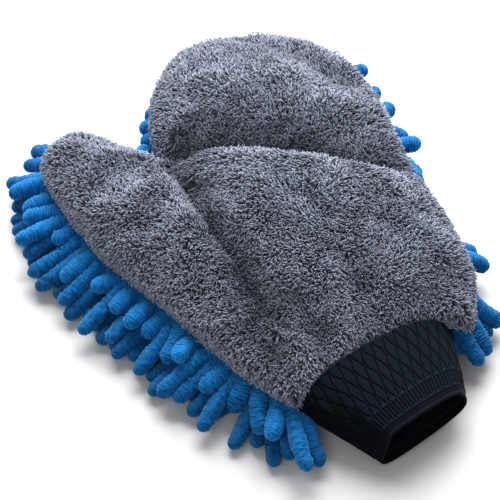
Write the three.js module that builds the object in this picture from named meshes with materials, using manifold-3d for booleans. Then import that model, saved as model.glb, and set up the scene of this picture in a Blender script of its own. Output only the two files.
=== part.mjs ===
// Wash mitt: a hand-shaped pocket with a thumb, plush on the back of the hand, rows of chenille
// fingers on the palm, and a ribbed knit cuff. Millimetres. +Z is up, +Y runs from the cuff to the
// fingertips, the thumb is on the -X side, and the mitt lies on z = 0 with its chenille down.
import * as THREE from 'three';
import { mergeVertices } from 'three/addons/utils/BufferGeometryUtils.js';
import Module from 'manifold-3d';

const wasm = await Module();
wasm.setup();

// ---------------------------------------------------------------- driving dimensions

// The origin is under the middle of the whole mitt, so the drawing below is shifted by this much.
const CENTRE = { x: -1.1, y: 11.24 };

const GAP = 0.3; // air left between pieces that touch
const EDGE_STEP = 11.5; // spacing of the points along the outline
const RING_SCALES = [0.84, 0.56, 0.26]; // inner rings of a sheet's mesh, before its centre point

// Edge of the plush back, from the cuff's right corner round the fingers and thumb to its left corner.
const EDGE = [
  [88, -98], [106, -74], [116, -50], [115, -15], [111, 30], [110, 88], [100, 128], [66, 160],
  [34, 167], [2, 158], [-18, 130], [-25, 100], [-29, 82], [-46, 94], [-62, 110], [-78, 115],
  [-95, 104], [-97, 84], [-82, 28], [-56, -22], [-30, -74], [-2, -112],
];

const SEAM_TURN = 10 * Math.PI / 180; // how far the cuff's seam turns from the X axis
const SEAM = { x: 42, y: -88 }; // middle of the cuff's seam
const KNUCKLE_LEFT = { x: -28, y: 69 }; // the fold across the knuckles runs between these two
const KNUCKLE_RIGHT = { x: 112, y: 42 };
const THUMB_FOLD_X = -28; // the fold at the thumb's root runs along Y

// Heights of the plush back and of the layers under it.
const CROWN = 58;
const EDGE_TOP = 33;
const PUFF_REACH = 60; // distance from the edge at which the back reaches its full height
const CUFF_PUFF = 0.55; // part of the puff that is left where the cuff gathers it
const GATHER_REACH = 55;
const FOLD_DEPTH = 9;
const FOLD_WIDTH = 13;
const PLUSH_EDGE_THICK = 6.1;
const PLUSH_EXTRA_THICK = 3;
const LINING_THICK = 0.9;
const BASE_BOTTOM = 22; // underside of the cloth that carries the chenille
const BASE_TOP = BASE_BOTTOM + 1.6;
const PALM_LINING_BOTTOM = BASE_TOP + GAP;
const PALM_LINING_TOP = PALM_LINING_BOTTOM + LINING_THICK;

// How far each layer's edge lies inside the plush edge.
const BASE_INSET = 5;
const SEAM_BAND_WIDTH = 3;
const LINING_CLEAR = 0.5; // between the edge's seam and the linings
const LINING_INSET = BASE_INSET + SEAM_BAND_WIDTH + LINING_CLEAR;
const LAYER_INSETS = [0, BASE_INSET, LINING_INSET];

// Chenille fingers and the tapes they hang from.
const FINGER_RADIUS = 4.1;
const FINGER_LENGTH = 33;
const FINGER_SIDES = 5;
const FINGER_PITCH = 17;
const FIRST_FINGER_X = -105;
const LAST_FINGER_X = 118;
const ROW_PITCH = 17;
const FIRST_ROW_Y = -84;
const ROW_COUNT = 15;
const TAPE_WIDTH = 7;
const TAPE_THICK = 2;
const TAPE_TOP = BASE_BOTTOM - GAP;
const FINGER_ROOT_Z = TAPE_TOP - TAPE_THICK / 2;
const RIM_DEPTH = 13; // fingers closer to the edge than this splay out past it
const SECOND_DEPTH = 26; // and these lean out under them
const FOLD_CLEAR = 6.5; // from a fold line to the nearest finger's middle
const TAPE_CLEAR = 1.5; // from the chenille cloth's edge to the nearest finger's middle
const OPEN_SIDE = { x: -0.83, y: -0.56 }; // the side of the mitt where the fingers splay furthest
const OPEN_GAIN = 1.6; // how fast the splay grows towards that side
const RIM_LEAN = [30, 71]; // degrees from hanging straight down, on the closed side and the open side
const SECOND_LEAN = [10, 46];
const RIM_SHORT = 0.48; // length of a rim finger on the closed side, as part of an open one's
const BEND_AT = 0.3; // where along it a leaning finger bends
const TIP_FROM = 0.82; // where along it a finger starts to narrow
const TIP_GIRTH = 0.62;
// The rim between thumb and fingers carries no chenille: it faces further than this in the
// direction given, and lies left of the X given.
const BARE_RIM = { x: 0.6, y: 1, facing: 1.05, right: -20 };

// Cuff: an oval tube from the seam to the mouth.
const CUFF_WALL = 2;
const CUFF_INNER_WALL = 1.5;
const CUFF_SIDES = 24;
const CUFF_SEAM_DEPTH = 3;
const CUFF_START = { x: SEAM.x, y: SEAM.y, z: 31.5, wide: 46, high: 11.5, turn: SEAM_TURN };
const CUFF_END = { x: 60, y: -130, z: 19, wide: 32, high: 15, turn: 27 * Math.PI / 180 };
const CUFF_STEPS = 4;
const CUFF_INNER_END = 0.97; // where the inner tube stops, as part of the way to the mouth

// ---------------------------------------------------------------- materials

const fabric = (colour, roughness) => new THREE.MeshStandardMaterial({
  color: new THREE.Color(...colour), roughness, metalness: 0,
});
const PLUSH = fabric([0.36, 0.35, 0.39], 0.95);
const BASE_CLOTH = fabric([0.04, 0.2, 0.36], 0.9);
const CHENILLE = fabric([0.04, 0.36, 0.64], 0.95);
const KNIT = fabric([0.02, 0.03, 0.045], 0.85);
const LINING = fabric([0.2, 0.2, 0.22], 0.8);
const THREAD = fabric([0.25, 0.25, 0.28], 0.8);

// ---------------------------------------------------------------- plan view

const seamLine = {
  x: SEAM.x, y: SEAM.y,
  along: { x: Math.cos(SEAM_TURN), y: Math.sin(SEAM_TURN) },
};
const knuckleLength = Math.hypot(KNUCKLE_RIGHT.x - KNUCKLE_LEFT.x, KNUCKLE_RIGHT.y - KNUCKLE_LEFT.y);
const knuckleLine = {
  x: KNUCKLE_LEFT.x, y: KNUCKLE_LEFT.y,
  along: {
    x: (KNUCKLE_RIGHT.x - KNUCKLE_LEFT.x) / knuckleLength,
    y: (KNUCKLE_RIGHT.y - KNUCKLE_LEFT.y) / knuckleLength,
  },
};
const thumbLine = { x: THUMB_FOLD_X, y: 0, along: { x: 0, y: 1 } };

// Signed distance from a line, positive on the left of its direction.
function offLine(line, p) {
  return line.along.x * (p.y - line.y) - line.along.y * (p.x - line.x);
}

const edgeCurve = new THREE.SplineCurve(EDGE.map(([x, y]) => new THREE.Vector2(x, y)));
const edgePoints = edgeCurve.getSpacedPoints(Math.round(edgeCurve.getLength() / EDGE_STEP));

// The edge's points, each with the direction in which it moves when a layer is inset.
const edge = edgePoints.map((p, i) => {
  const before = edgePoints[Math.max(i - 1, 0)];
  const after = edgePoints[Math.min(i + 1, edgePoints.length - 1)];
  const run = after.clone().sub(before).normalize();
  return { p, inward: new THREE.Vector2(-run.y, run.x), lines: [] };
});

function nearestOnEdge(p) {
  let best = { distance: Infinity };
  for (let i = 1; i < edgePoints.length; i += 1) {
    const a = edgePoints[i - 1];
    const b = edgePoints[i];
    const run = b.clone().sub(a);
    const t = THREE.MathUtils.clamp(p.clone().sub(a).dot(run) / run.lengthSq(), 0, 1);
    const foot = a.clone().addScaledVector(run, t);
    const distance = foot.distanceTo(p);
    if (distance < best.distance) {
      run.normalize();
      best = { distance, outward: new THREE.Vector2(run.y, -run.x) };
    }
  }
  return best;
}

// The point where a line cuts the outline between two of its points. Inset, it slides along the
// line, unless the line meets another one there.
function crossing(from, to, t, line) {
  const p = from.p.clone().lerp(to.p, t);
  const corner = from.lines.some((other) => to.lines.includes(other));
  if (corner) return { p, inward: new THREE.Vector2(0, 0), lines: [line] };
  const normal = from.inward.clone().lerp(to.inward, t);
  const along = new THREE.Vector2(line.along.x, line.along.y);
  return { p, inward: along.divideScalar(along.dot(normal)), lines: [line] };
}

// Keeps the part of an outline that lies on one side of a line, half a gap away from it.
function clip(outline, line, side) {
  const kept = [];
  const depth = (point) => side * offLine(line, point.p) - GAP / 2;
  outline.forEach((from, i) => {
    const to = outline[(i + 1) % outline.length];
    const ratio = depth(from) / (depth(from) - depth(to));
    if (depth(from) >= 0) kept.push(from);
    if (depth(from) * depth(to) < 0) kept.push(crossing(from, to, ratio, line));
  });
  return kept;
}

// The mitt's three stiff stretches, and the centre from which each one's mesh spreads.
const STRETCHES = {
  hand: { sides: [[seamLine, 1], [thumbLine, -1], [knuckleLine, -1]], centre: [38, -10] },
  fingers: { sides: [[thumbLine, -1], [knuckleLine, 1]], centre: [40, 102] },
  thumb: { sides: [[thumbLine, 1]], centre: [-58, 52] },
};

const insetBy = (inset) => (point) => point.p.clone().addScaledVector(point.inward, inset);

// A stretch's outline, without the points of a sharp corner that an inset would push across a cut.
function stretchOutline(name) {
  const cut = STRETCHES[name].sides.reduce((kept, [line, side]) => clip(kept, line, side), edge);
  return cut.filter((point) => point.lines.length || insideStretch(name, insetBy(LINING_INSET)(point), 1));
}

function insideStretch(name, p, margin) {
  return STRETCHES[name].sides.every(([line, side]) => side * offLine(line, p) > margin);
}

// ---------------------------------------------------------------- heights

const smooth = (t) => THREE.MathUtils.smoothstep(t, 0, 1);

// 0 at the mitt's edge, rising like a pillow to 1 in the middle, and less towards the cuff.
function puff(p) {
  const reach = Math.min(nearestOnEdge(p).distance / PUFF_REACH, 1);
  const gathered = CUFF_PUFF + (1 - CUFF_PUFF) * smooth(offLine(seamLine, p) / GATHER_REACH);
  return Math.sqrt(1 - (1 - reach) ** 2) * gathered;
}

// 1 along the two folds, falling to 0 away from them.
function fold(p) {
  const near = Math.min(Math.abs(offLine(knuckleLine, p)), Math.abs(offLine(thumbLine, p)));
  return Math.exp(-((near / FOLD_WIDTH) ** 2));
}

const plushTop = (p) => EDGE_TOP + (CROWN - EDGE_TOP - FOLD_DEPTH * fold(p)) * puff(p);
const plushBottom = (p) => plushTop(p) - PLUSH_EDGE_THICK - PLUSH_EXTRA_THICK * puff(p);
const backLiningTop = (p) => plushBottom(p) - GAP;
const backLiningBottom = (p) => backLiningTop(p) - LINING_THICK;

// ---------------------------------------------------------------- solids

function meshFrom(positions, triangles) {
  const geometry = new THREE.BufferGeometry();
  geometry.setAttribute('position', new THREE.Float32BufferAttribute(positions, 3));
  geometry.setIndex(triangles);
  geometry.translate(-CENTRE.x, -CENTRE.y, 0);
  return geometry;
}

// A sheet over one stretch, between two heights given as functions of the place. Its edge is one
// of LAYER_INSETS, and every layer's mesh has the same points in plan, so that layers nest.
function sheet(name, firstInset, top, bottom) {
  const outline = stretchOutline(name);
  const middle = new THREE.Vector2(...STRETCHES[name].centre);
  const innermost = outline.map(insetBy(LINING_INSET));
  const plan = LAYER_INSETS.slice(firstInset).flatMap((inset) => outline.map(insetBy(inset)));
  plan.push(...RING_SCALES.flatMap((s) => innermost.map((p) => middle.clone().lerp(p, s))));
  plan.push(middle);
  const count = outline.length;
  const hub = plan.length - 1;
  const positions = [top, bottom].flatMap((height) => plan.flatMap((p) => [p.x, p.y, height(p)]));
  const triangles = [];
  const face = (a, b, c) => triangles.push(a, b, c, a + plan.length, c + plan.length, b + plan.length);
  for (let i = 0; i < count; i += 1) {
    const j = (i + 1) % count;
    for (let outer = 0; outer + count < hub; outer += count) {
      const inner = outer + count;
      face(outer + i, outer + j, inner + j);
      face(outer + i, inner + j, inner + i);
    }
    face(hub - count + i, hub - count + j, hub);
    triangles.push(i, i + plan.length, j + plan.length, i, j + plan.length, j);
  }
  return meshFrom(positions, triangles);
}

function plate(outline, low, high) {
  const geometry = new THREE.ExtrudeGeometry(new THREE.Shape(outline), {
    depth: high - low, bevelEnabled: false,
  });
  geometry.translate(-CENTRE.x, -CENTRE.y, low);
  return geometry;
}

// Flat strips along the edge of one stretch, one for each run of it that no fold or seam cuts.
function edgeBands(name, low, high) {
  const outline = stretchOutline(name);
  const free = outline.map((point) => point.inward.lengthSq() > 0);
  const cut = outline.findIndex((point, i) => {
    const next = outline[(i + 1) % outline.length];
    return point.lines.some((line) => next.lines.includes(line)) || !free[i];
  });
  const turned = [...outline.slice(cut + 1), ...outline.slice(0, cut + 1)];
  const runs = [[]];
  turned.forEach((point, i) => {
    const next = turned[(i + 1) % turned.length];
    if (point.inward.lengthSq() > 0) runs[runs.length - 1].push(point);
    if (point.lines.some((line) => next.lines.includes(line)) && runs[runs.length - 1].length) {
      runs.push([]);
    }
  });
  return runs.filter((run) => run.length > 1).map((run) => {
    const outer = run.map(insetBy(BASE_INSET));
    const inner = run.map(insetBy(BASE_INSET + SEAM_BAND_WIDTH)).reverse();
    return plate([...outer, ...inner], low, high);
  });
}

function toSolid(geometry) {
  const plain = geometry.clone();
  plain.deleteAttribute('normal');
  plain.deleteAttribute('uv');
  const merged = mergeVertices(plain, 1e-4);
  return new wasm.Manifold(new wasm.Mesh({
    numProp: 3,
    vertProperties: new Float32Array(merged.attributes.position.array),
    triVerts: new Uint32Array(merged.index.array),
  }));
}

function fromSolid(solid) {
  const mesh = solid.getMesh();
  const geometry = new THREE.BufferGeometry();
  geometry.setAttribute('position', new THREE.Float32BufferAttribute(mesh.vertProperties, 3));
  geometry.setIndex(Array.from(mesh.triVerts));
  return geometry;
}

// ---------------------------------------------------------------- chenille

// A finger as a stack of rings, each given by its middle, radius and the direction it faces.
function fingerSolid(rings) {
  const positions = [];
  const triangles = [];
  rings.forEach(({ at, radius, facing }) => {
    const turn = new THREE.Quaternion().setFromUnitVectors(new THREE.Vector3(0, 0, -1), facing);
    for (let i = 0; i < FINGER_SIDES; i += 1) {
      const angle = (i / FINGER_SIDES) * 2 * Math.PI;
      const spoke = new THREE.Vector3(radius * Math.cos(angle), radius * Math.sin(angle), 0);
      positions.push(...spoke.applyQuaternion(turn).add(at).toArray());
    }
  });
  const quads = (rings.length - 1) * FINGER_SIDES;
  for (let i = 0; i < quads; i += 1) {
    const ring = Math.floor(i / FINGER_SIDES) * FINGER_SIDES;
    const a = i;
    const b = ring + ((i + 1) % FINGER_SIDES);
    triangles.push(a, b + FINGER_SIDES, b, a, a + FINGER_SIDES, b + FINGER_SIDES);
  }
  const end = (rings.length - 1) * FINGER_SIDES;
  for (let i = 1; i + 1 < FINGER_SIDES; i += 1) {
    triangles.push(0, i, i + 1, end, end + i + 1, end + i);
  }
  return toSolid(meshFrom(positions, triangles));
}

// How a finger at a place hangs: straight down and flattened on the floor in the middle,
// leaning out under the rim further out, and splayed past the edge at the rim. A tucked one
// stays under the mitt wherever it is, as those beside the thumb do.
function fingerAt(p, tucked) {
  const { distance, outward } = nearestOnEdge(p);
  const root = new THREE.Vector3(p.x, p.y, FINGER_ROOT_Z);
  const openness = tucked ? 0 : Math.max(outward.x * OPEN_SIDE.x + outward.y * OPEN_SIDE.y, 0);
  let lean = 0;
  let length = FINGER_ROOT_Z;
  const splay = smooth(openness * OPEN_GAIN);
  if (distance < RIM_DEPTH) {
    lean = THREE.MathUtils.lerp(...RIM_LEAN, splay) * Math.PI / 180;
    length = THREE.MathUtils.lerp(FINGER_LENGTH * RIM_SHORT, FINGER_LENGTH, splay);
  } else if (distance < SECOND_DEPTH) {
    lean = THREE.MathUtils.lerp(...SECOND_LEAN, splay) * Math.PI / 180;
    length = (FINGER_ROOT_Z - FINGER_RADIUS * Math.sin(lean)) / Math.cos(lean);
  }
  const facing = (angle) => new THREE.Vector3(
    outward.x * Math.sin(angle), outward.y * Math.sin(angle), -Math.cos(angle),
  );
  const ring = (t, angle, radius) => ({
    at: root.clone().addScaledVector(facing(lean), length * t), radius, facing: facing(angle),
  });
  const rings = [ring(0, 0, FINGER_RADIUS)];
  if (lean > 0) rings.push(ring(BEND_AT, lean / 2, FINGER_RADIUS));
  rings.push(ring(TIP_FROM, lean, FINGER_RADIUS), ring(1, lean, FINGER_RADIUS * TIP_GIRTH));
  return fingerSolid(rings);
}

// The chenille rows of one stretch: each row's fingers and the tape they hang from, as one solid.
function chenilleRows(name) {
  const rows = [];
  for (let r = 0; r < ROW_COUNT; r += 1) {
    const y = FIRST_ROW_Y + r * ROW_PITCH;
    const shift = (r % 2) * FINGER_PITCH / 2;
    const places = [];
    for (let x = FIRST_FINGER_X + shift; x < LAST_FINGER_X; x += FINGER_PITCH) {
      const p = new THREE.Vector2(x, y);
      const { distance, outward } = nearestOnEdge(p);
      const facing = outward.x * BARE_RIM.x + outward.y * BARE_RIM.y;
      const bare = facing > BARE_RIM.facing && x < BARE_RIM.right && distance < RIM_DEPTH;
      const within = offLine(seamLine, p) > FOLD_CLEAR
        && distance > BASE_INSET + TAPE_CLEAR
        && isInside(p)
        && insideStretch(name, p, FOLD_CLEAR);
      if (within && !bare) places.push(p);
    }
    if (places.length === 0) continue;
    const left = places[0].x - TAPE_WIDTH / 2;
    const right = places[places.length - 1].x + TAPE_WIDTH / 2;
    const tape = new THREE.BoxGeometry(right - left, TAPE_WIDTH, TAPE_THICK);
    tape.translate((left + right) / 2 - CENTRE.x, y - CENTRE.y, TAPE_TOP - TAPE_THICK / 2);
    const tucked = name === 'fingers';
    const row = places.reduce((solid, p) => solid.add(fingerAt(p, tucked)), toSolid(tape));
    rows.push(fromSolid(row));
  }
  return rows;
}

function isInside(p) {
  let inside = false;
  edgePoints.forEach((a, i) => {
    const b = edgePoints[(i + 1) % edgePoints.length];
    if ((a.y > p.y) !== (b.y > p.y) && p.x < a.x + (b.x - a.x) * (p.y - a.y) / (b.y - a.y)) {
      inside = !inside;
    }
  });
  return inside;
}

// ---------------------------------------------------------------- cuff

// A ring of points round the cuff, t of the way from seam to mouth and inside its outer face.
function cuffRing(t, inside) {
  const mix = (key) => THREE.MathUtils.lerp(CUFF_START[key], CUFF_END[key], t);
  const turn = mix('turn');
  const points = [];
  for (let i = 0; i < CUFF_SIDES; i += 1) {
    const angle = (i / CUFF_SIDES) * 2 * Math.PI;
    const across = (mix('wide') - inside) * Math.cos(angle);
    points.push([
      mix('x') + across * Math.cos(turn),
      mix('y') + across * Math.sin(turn),
      mix('z') + (mix('high') - inside) * Math.sin(angle),
    ]);
  }
  return points;
}

// A tube wall between two depths inside the cuff's outer face, from t = start to t = end.
function cuffWall(start, end, steps, outside, inside) {
  const loops = [];
  for (let k = 0; k <= steps; k += 1) {
    loops.push(cuffRing(THREE.MathUtils.lerp(start, end, k / steps), outside));
  }
  for (let k = steps; k >= 0; k -= 1) {
    loops.push(cuffRing(THREE.MathUtils.lerp(start, end, k / steps), inside));
  }
  const triangles = [];
  for (let k = 0; k < loops.length; k += 1) {
    const here = k * CUFF_SIDES;
    const next = ((k + 1) % loops.length) * CUFF_SIDES;
    for (let i = 0; i < CUFF_SIDES; i += 1) {
      const j = (i + 1) % CUFF_SIDES;
      triangles.push(here + i, here + j, next + j, here + i, next + j, next + i);
    }
  }
  return meshFrom(loops.flat(2), triangles);
}

// ---------------------------------------------------------------- assembly

const mitt = new THREE.Group();

function add(name, geometry, material) {
  const mesh = new THREE.Mesh(geometry, material);
  mesh.name = name;
  mitt.add(mesh);
}

Object.keys(STRETCHES).forEach((name) => {
  add(`back_panel_${name}`, sheet(name, 0, plushTop, plushBottom), PLUSH);
  add(`back_lining_${name}`, sheet(name, 2, backLiningTop, backLiningBottom), LINING);
  const plan = (inset) => stretchOutline(name).map(insetBy(inset));
  add(`palm_lining_${name}`, plate(plan(LINING_INSET), PALM_LINING_BOTTOM, PALM_LINING_TOP), LINING);
  add(`chenille_base_${name}`, plate(plan(BASE_INSET), BASE_BOTTOM, BASE_TOP), BASE_CLOTH);
  chenilleRows(name).forEach((row, i) => add(`chenille_row_${name}_${i + 1}`, row, CHENILLE));
});

const bandLow = BASE_TOP + GAP;
const bandHigh = EDGE_TOP - PLUSH_EDGE_THICK - GAP;
const [bandLeft, bandRight] = edgeBands('hand', bandLow, bandHigh);
add('edge_seam_hand_right', bandRight, THREAD);
add('edge_seam_hand_left', bandLeft, THREAD);
add('edge_seam_fingers', edgeBands('fingers', bandLow, bandHigh)[0], THREAD);
add('edge_seam_thumb', edgeBands('thumb', bandLow, bandHigh)[0], THREAD);

const cuffLength = Math.hypot(CUFF_END.x - CUFF_START.x, CUFF_END.y - CUFF_START.y);
const seamFrom = GAP / cuffLength;
const seamTo = (GAP + CUFF_SEAM_DEPTH) / cuffLength;
const tubeFrom = (2 * GAP + CUFF_SEAM_DEPTH) / cuffLength;
add('cuff_seam', cuffWall(seamFrom, seamTo, 1, 0, CUFF_WALL + GAP + CUFF_INNER_WALL), THREAD);
add('cuff_outer', cuffWall(tubeFrom, 1, CUFF_STEPS, 0, CUFF_WALL), KNIT);
add(
  'cuff_inner',
  cuffWall(tubeFrom, CUFF_INNER_END, CUFF_STEPS, CUFF_WALL + GAP, CUFF_WALL + GAP + CUFF_INNER_WALL),
  KNIT,
);

export default mitt;
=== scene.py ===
"""Wash mitt: the fabric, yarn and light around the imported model.

Shapes are worked out in the mitt's own drawing, in millimetres: +Z up, +Y towards the fingertips,
the thumb on the -X side. metres() turns a drawing point into the frame's metres.
"""

import math

import bpy
import numpy as np
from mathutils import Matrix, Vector, geometry


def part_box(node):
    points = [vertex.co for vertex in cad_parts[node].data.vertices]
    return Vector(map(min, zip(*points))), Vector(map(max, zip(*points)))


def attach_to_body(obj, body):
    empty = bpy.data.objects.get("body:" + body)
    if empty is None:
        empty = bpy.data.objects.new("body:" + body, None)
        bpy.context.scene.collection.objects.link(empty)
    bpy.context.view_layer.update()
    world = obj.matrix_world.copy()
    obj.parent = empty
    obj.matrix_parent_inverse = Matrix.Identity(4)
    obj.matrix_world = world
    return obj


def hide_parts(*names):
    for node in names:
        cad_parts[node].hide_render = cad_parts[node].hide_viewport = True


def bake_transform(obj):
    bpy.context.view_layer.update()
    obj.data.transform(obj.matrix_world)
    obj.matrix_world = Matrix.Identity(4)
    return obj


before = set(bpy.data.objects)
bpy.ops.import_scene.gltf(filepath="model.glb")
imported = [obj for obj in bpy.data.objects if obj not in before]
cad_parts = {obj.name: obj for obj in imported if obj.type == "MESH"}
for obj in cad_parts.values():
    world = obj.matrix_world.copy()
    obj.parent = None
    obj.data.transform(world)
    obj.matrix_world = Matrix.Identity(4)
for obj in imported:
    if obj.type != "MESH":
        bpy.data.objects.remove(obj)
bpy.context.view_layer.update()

# ---- driving dimensions, in millimetres

CENTRE = np.array([-1.1, 11.24, 0.0])  # the drawing's point above the frame's origin

# Edge of the mitt from the cuff's right corner round the fingers and thumb to its left corner.
EDGE = [
    (101, -87), (109, -71), (116, -50), (115, -15), (111, 30), (110, 88), (98, 126), (65, 156),
    (33, 163), (0, 155), (-20, 131), (-30, 101), (-29, 82), (-46, 94), (-62, 110), (-78, 115),
    (-95, 104), (-97, 84), (-82, 28), (-56, -22), (-30, -74), (-8, -104),
]
# Where the plush stops over the cuff, from the left corner to the right one.
CUFF_SIDE = [
    (-8, -104), (2, -98), (12, -93), (24, -88.5), (38, -84), (55, -79.5), (71, -77), (83, -78), (92, -82),
    (101, -87),
]

SEAM = (42, -88)
SEAM_TURN = math.radians(10)
KNUCKLE_LEFT = (-28, 69)
KNUCKLE_RIGHT = (112, 42)
THUMB_SPLIT_X = -29  # the plush bends with the thumb on this side, and with the fingers on the other

CROWN = 58  # height of the back in its middle
EDGE_TOP = 33  # and at its edge
PUFF_REACH = 60  # how far in from the edge it keeps rising
CUFF_PUFF = 0.55  # share of that rise that is left at the cuff,
GATHER_REACH = 55  # which gathers the back this far in
PILE = 5  # height of the pile over its ground cloth
BASE_Z = 22.8  # the cloth that carries the chenille
SEAM_INSET = 5
SEAM_Z = 24.6

# Folds in the back of the mitt: the line each follows, its height (negative for a valley), and how
# far it spreads on the line's left and on its right.
FOLDS = [
    ([(-10, 73), (-1, 69), (21, 60), (48, 47.5), (73, 34), (93, 24)], -12.5, 24, 7),
    ([(-16, 61), (-5, 55), (17, 46.5), (42, 33), (67, 19), (88, 10)], 4.4, 6, 17),
    ([(-24, 52), (-6, 40), (17, 24)], 2.0, 5, 6),
    ([(48, 147), (62, 128), (78, 112), (91, 96)], -7.0, 10, 14),
    ([(50, 114), (67, 91), (84, 77), (101, 69)], 3.5, 9, 10),
    ([(4, 112), (-9, 97), (-19, 86)], 2.4, 8, 8),
    ([(-29, 69), (-25, 49), (-21, 24), (-16, -2), (-10, -26), (-6, -51)], -12.0, 19, 8),
    ([(-18, 49), (-8, 30), (-3, 4), (4, -24), (9, -54)], 3.0, 9, 9),
    ([(-36, 56), (-33, 33), (-28, 7), (-22, -15)], 2.0, 6, 12),
    ([(-16, -36), (-15, -60), (-10, -75), (-6, -89)], -4.0, 6, 8),
    ([(0, -50), (3, -70), (6, -86)], 3.0, 6, 6),
    ([(13, -49), (15, -67), (16, -82)], -5.0, 5, 8),
    ([(32, -48), (33, -66), (30, -80)], 3.2, 7, 7),
    ([(48, -57), (49, -70), (51, -77)], -3.2, 5, 6),
    ([(70, -26), (59, -43), (47, -52)], -3.0, 9, 10),
]


def metres(points):
    """Points of the drawing in the frame's metres."""
    return (np.asarray(points, float) - CENTRE) / 1000


# ---- plan view


def norms(v):
    """Lengths of the vectors that lie along the last axis."""
    return np.linalg.norm(v, axis=-1)


def unit(v):
    """Vectors along the last axis, made one long."""
    return v / np.maximum(norms(v), 1e-9)[..., None]


def spaced(line, step):
    """Points about step apart along a polyline, its two ends among them."""
    line = np.asarray(line, float)
    run = np.concatenate([[0], np.cumsum(norms(np.diff(line, axis=0)))])
    at = np.linspace(0, run[-1], max(2, round(run[-1] / step) + 1))
    return np.stack([np.interp(at, run, line[:, k]) for k in range(line.shape[1])], 1)


def spline(points, step, closed=False):
    """Points about step apart along a smooth curve through the given ones."""
    p = np.array(points, float)
    if closed:
        p = np.vstack([p[-1:], p, p[:2]])
    else:
        p = np.vstack([p[:1], p, p[-1:]])
    t = np.linspace(0, 1, 16, endpoint=False)[:, None]
    runs = []
    for a, b, c, d in zip(p[:-3], p[1:-2], p[2:-1], p[3:]):
        cubic = (2 * t**3 - 3 * t**2 + 1) * b + (3 * t**2 - 2 * t**3) * c
        runs.append(cubic + (t**3 - 2 * t**2 + t) * (c - a) / 2 + (t**3 - t**2) * (d - b) / 2)
    return spaced(np.vstack(runs + [p[-2:-1]]), step)


def smooth(t):
    """0 below 0 and 1 above 1, with a soft step between."""
    t = np.clip(t, 0, 1)
    return t * t * (3 - 2 * t)


CHUNK = 4000  # points measured at a time, to save memory


def nearest(line, p):
    """For each point of p, its distance to a polyline and the unit vector on the line's right there."""
    a = line[:-1]
    run = np.diff(line, axis=0)
    right = unit(np.stack([run[:, 1], -run[:, 0]], 1))
    distance = np.empty(len(p))
    outward = np.empty((len(p), 2))
    for start in range(0, len(p), CHUNK):
        q = p[start:start + CHUNK, None, :2]
        t = np.clip(((q - a) * run).sum(2) / (run * run).sum(1), 0, 1)
        gap = norms(q - a - t[..., None] * run)
        best = gap.argmin(1)
        distance[start:start + CHUNK] = gap[np.arange(len(best)), best]
        outward[start:start + CHUNK] = right[best]
    return distance, outward


def inside(loop, p):
    """Which points of p are inside a closed polygon."""
    found = np.zeros(len(p), bool)
    for a, b in zip(loop, np.roll(loop, -1, axis=0)):
        crosses = (a[1] > p[:, 1]) != (b[1] > p[:, 1])
        reach = a[0] + (b[0] - a[0]) * (p[:, 1] - a[1]) / (b[1] - a[1] + 1e-12)
        found ^= crosses & (p[:, 0] < reach)
    return found


edge_line = spline(EDGE, 4)
cuff_line = spline(CUFF_SIDE, 4)
outline = np.vstack([edge_line, cuff_line[1:-1]])
closed_outline = np.vstack([outline, outline[:1]])
seam_along = np.array([math.cos(SEAM_TURN), math.sin(SEAM_TURN)])
knuckle_along = unit(np.subtract(KNUCKLE_RIGHT, KNUCKLE_LEFT))


def off_line(through, along, p):
    """Signed distance from a line, positive on the left of its direction."""
    return along[0] * (p[:, 1] - through[1]) - along[1] * (p[:, 0] - through[0])


def past_knuckles(p):
    return off_line(KNUCKLE_LEFT, knuckle_along, p)


def past_seam(p):
    return off_line(SEAM, seam_along, p)


def waves(p, seed, scale):
    """Smooth noise between about -1 and 1 over the plan, with features about scale across."""
    rng = np.random.default_rng(seed)
    total = np.zeros(len(p))
    for _ in range(9):
        angle = rng.uniform(0, 2 * math.pi)
        pace = 2 * math.pi / (scale * rng.uniform(1.1, 3.0))
        total += np.sin(pace * (p[:, 0] * math.cos(angle) + p[:, 1] * math.sin(angle)) + rng.uniform(0, 7))
    return total / 4


# ---- the back's height

DEEP = 12  # depth of a valley whose locks get the full painted shade
HIGH = 4  # height of a ridge whose pile lies fully flat and gets the full painted highlight


def puff(p):
    """0 at the mitt's edge, rising like a pillow to 1 in the middle, and less towards the cuff."""
    distance, _ = nearest(edge_line, p)
    reach = np.minimum(distance / PUFF_REACH, 1)
    gathered = CUFF_PUFF + (1 - CUFF_PUFF) * smooth(past_seam(p) / GATHER_REACH)
    return np.sqrt(1 - (1 - reach) ** 2) * gathered


def cuff_roof(p):
    """Height of the cuff's root under the plush."""
    along = (p[:, :2] - SEAM) @ seam_along
    return 31.5 + 11.5 * np.sqrt(np.clip(1 - (along / 46) ** 2, 0, 1))


def fold_share(line, left, right, p):
    """1 along a fold's line, falling to 0 over its spread on each side."""
    curve = spline(line, 3)
    distance, rightward = nearest(curve, p)
    foot = curve[norms(p[:, None, :2] - curve[None]).argmin(1)]
    on_right = ((p[:, :2] - foot) * rightward).sum(1) > 0
    return np.exp(-((distance / np.where(on_right, right, left)) ** 2))


def in_folds(p, sign, full, left_share=1.0, right_share=1.0):
    """How far each point is on the ridges (sign 1) or in the valleys (sign -1), from 0 to 1."""
    total = np.zeros(len(p))
    for line, bump, left, right in FOLDS:
        if sign * bump > 0:
            total += sign * bump / full * fold_share(line, left_share * left, right_share * right, p)
    return np.clip(total, 0, 1)


def creased(p):
    """How far the locks in a valley are darkened by painted shade, from 0 to 1."""
    return in_folds(p, -1, DEEP, 0.7, 1.2) * smooth(puff(p) * 1.6)


def brushed_flat(p):
    """How far the pile lies flat on a ridge, which also sets how much painted highlight its locks get."""
    return in_folds(p, 1, HIGH)


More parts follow.
